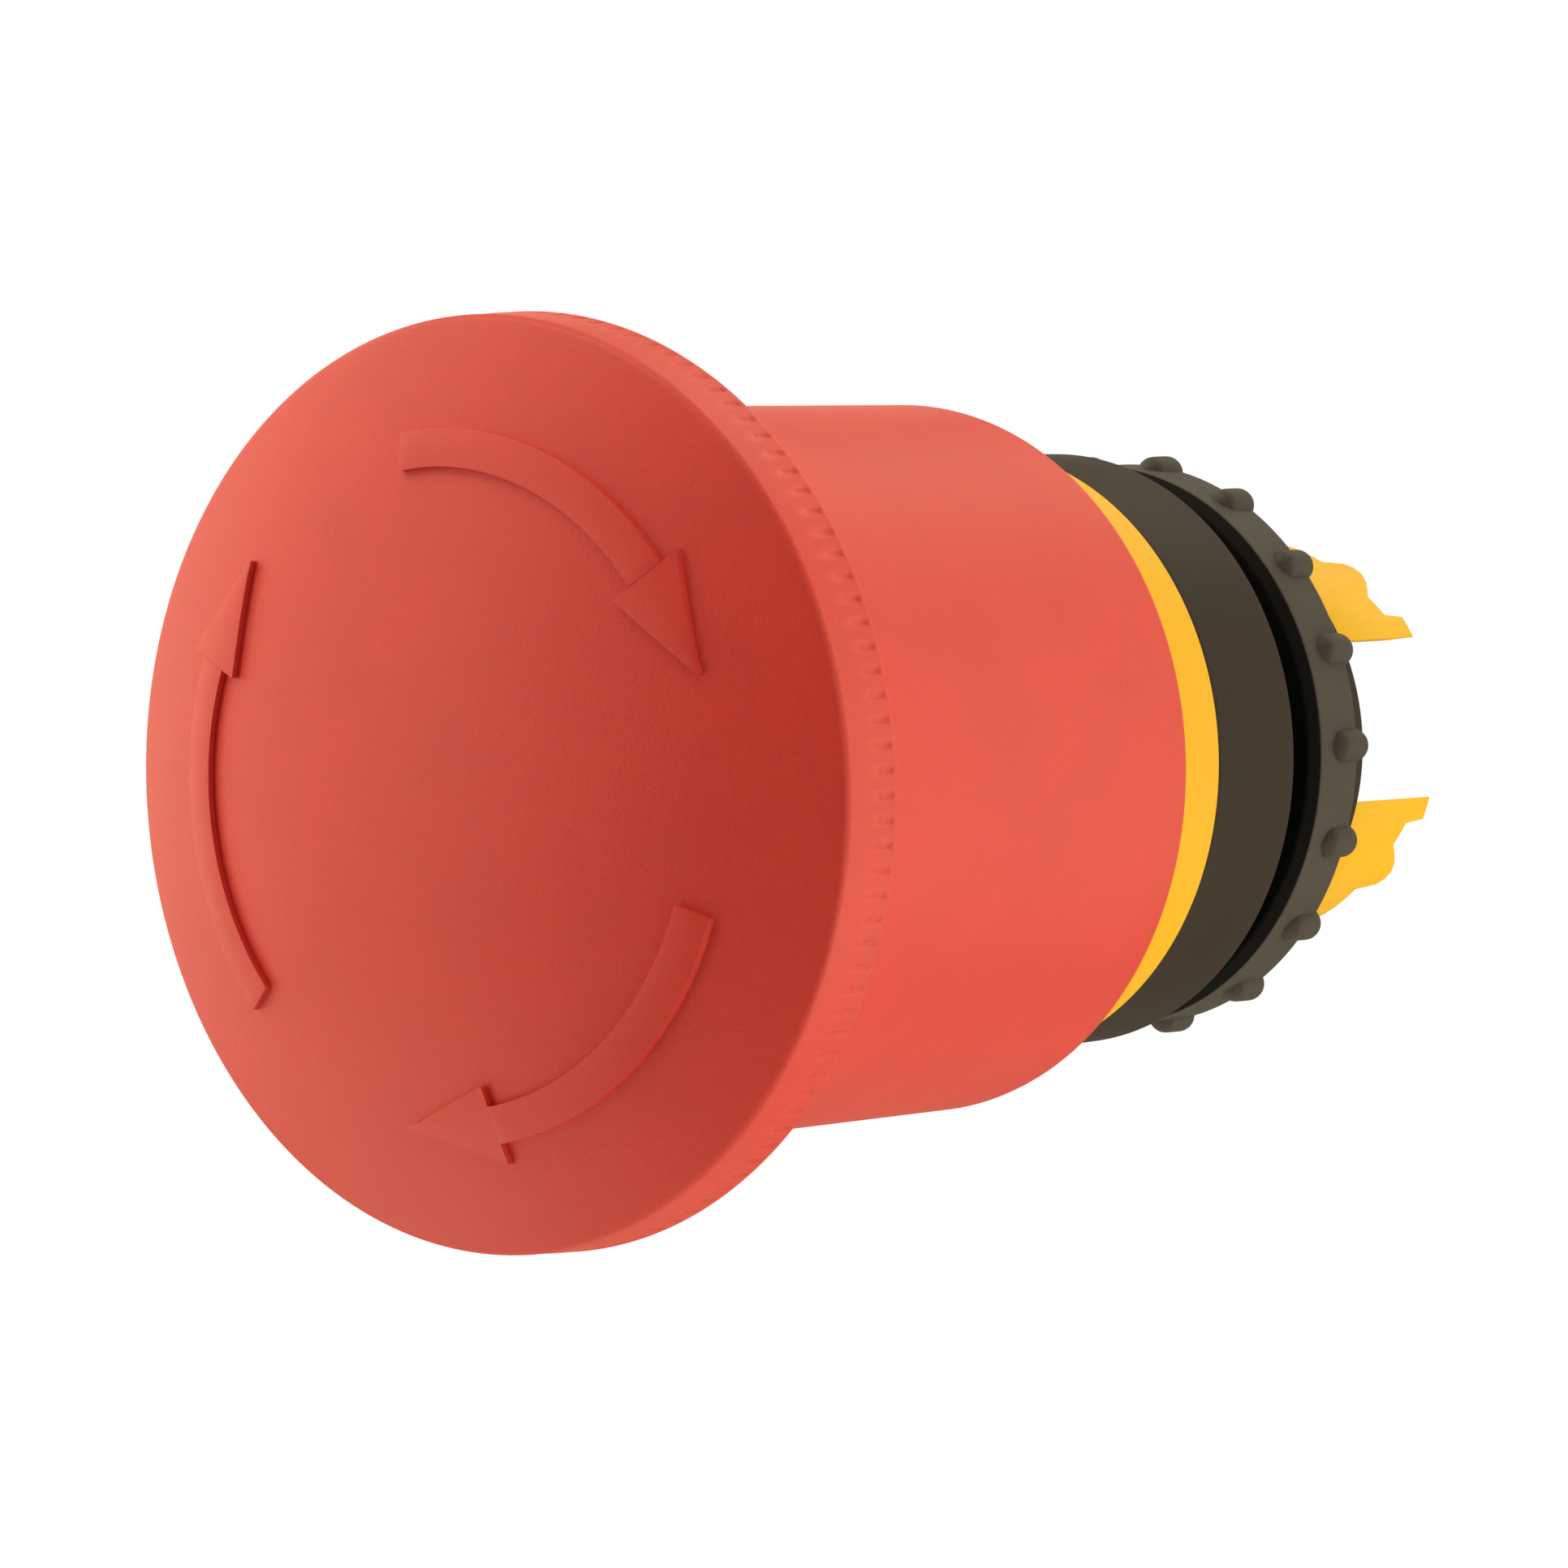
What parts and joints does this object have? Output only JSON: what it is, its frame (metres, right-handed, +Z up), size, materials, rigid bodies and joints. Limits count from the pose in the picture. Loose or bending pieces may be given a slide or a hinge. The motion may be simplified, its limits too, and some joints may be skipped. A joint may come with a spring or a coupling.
{
  "type": "emergency stop button",
  "caption": "Red mushroom-head emergency stop with turn-to-release latch, yellow ring, black collar, threaded barrel, ring nut and yellow rear prongs for a round panel hole.",
  "frame": {"origin": "on the button's axis, in the middle of the gap that holds the panel, between the seal and the ring nut", "axes": "+Y from the operator to the back of the panel, along the button's axis; +Z up; +X to the operator's right"},
  "size_m": [0.045, 0.0659, 0.045],
  "materials": {
    "red_plastic": "fine-grained matt moulded red",
    "yellow_plastic": "satin moulded yellow",
    "black_plastic": "matt glass-filled black",
    "seal_rubber": "soft black rubber",
    "natural_plastic": "natural white acetal",
    "plated_steel": "zinc-plated turned steel",
    "spring_steel": "drawn spring wire"
  },
  "bodies": {
    "housing": {"threaded_barrel": "black_plastic", "front_collar": "black_plastic", "yellow_ring": "yellow_plastic", "panel_seal": "seal_rubber", "latch_ring": "plated_steel", "guide_sleeve": "natural_plastic", "lip_seal": "seal_rubber", "seal_retainer": "black_plastic", "return_spring": "spring_steel"},
    "nut": {"ring_nut": "black_plastic"},
    "plunger": {"plunger": "yellow_plastic", "pin_carrier": "black_plastic", "latch_springs": "spring_steel", "torsion_spring": "spring_steel"},
    "latch_left": {"latch_pin_left": "plated_steel"},
    "latch_right": {"latch_pin_right": "plated_steel"},
    "cap": {"mushroom_cap": "red_plastic", "cap_skirt": "red_plastic", "cap_hub": "black_plastic", "spindle": "plated_steel", "spindle_screw": "plated_steel", "drive_pin": "plated_steel", "thrust_washer": "plated_steel", "release_cam": "natural_plastic", "spring_collar": "black_plastic", "spindle_circlip": "spring_steel"}
  },
  "joints": [
    {"name": "press", "type": "slide", "parent": "housing", "child": "plunger", "axis": [0, 1, 0], "range_m": [0, 0.005], "stiffness_N_per_m": 3000, "springref_m": -0.005, "deforming": ["return_spring"]},
    {"name": "release_turn", "type": "hinge", "parent": "plunger", "child": "cap", "pos_m": [0, 0, 0], "axis": [0, 1, 0], "range_deg": [0, 40], "stiffness_Nm_per_rad": 0.08, "springref_deg": -20.05, "deforming": ["torsion_spring"]},
    {"name": "latch_left_slide", "type": "slide", "parent": "plunger", "child": "latch_left", "axis": [-1, 0, 0], "range_m": [0, 0.00125], "deforming": ["latch_springs"]},
    {"name": "latch_right_slide", "type": "slide", "parent": "plunger", "child": "latch_right", "axis": [1, 0, 0], "range_m": [0, 0.00125]},
    {"name": "nut_run", "type": "slide", "parent": "housing", "child": "nut", "axis": [0, 1, 0], "range_m": [0, 0.018]}
  ],
  "couplings": [
    {"joint": "latch_left_slide", "follows": "press", "ratio": 0.25},
    {"joint": "latch_right_slide", "follows": "press", "ratio": 0.25}
  ]
}
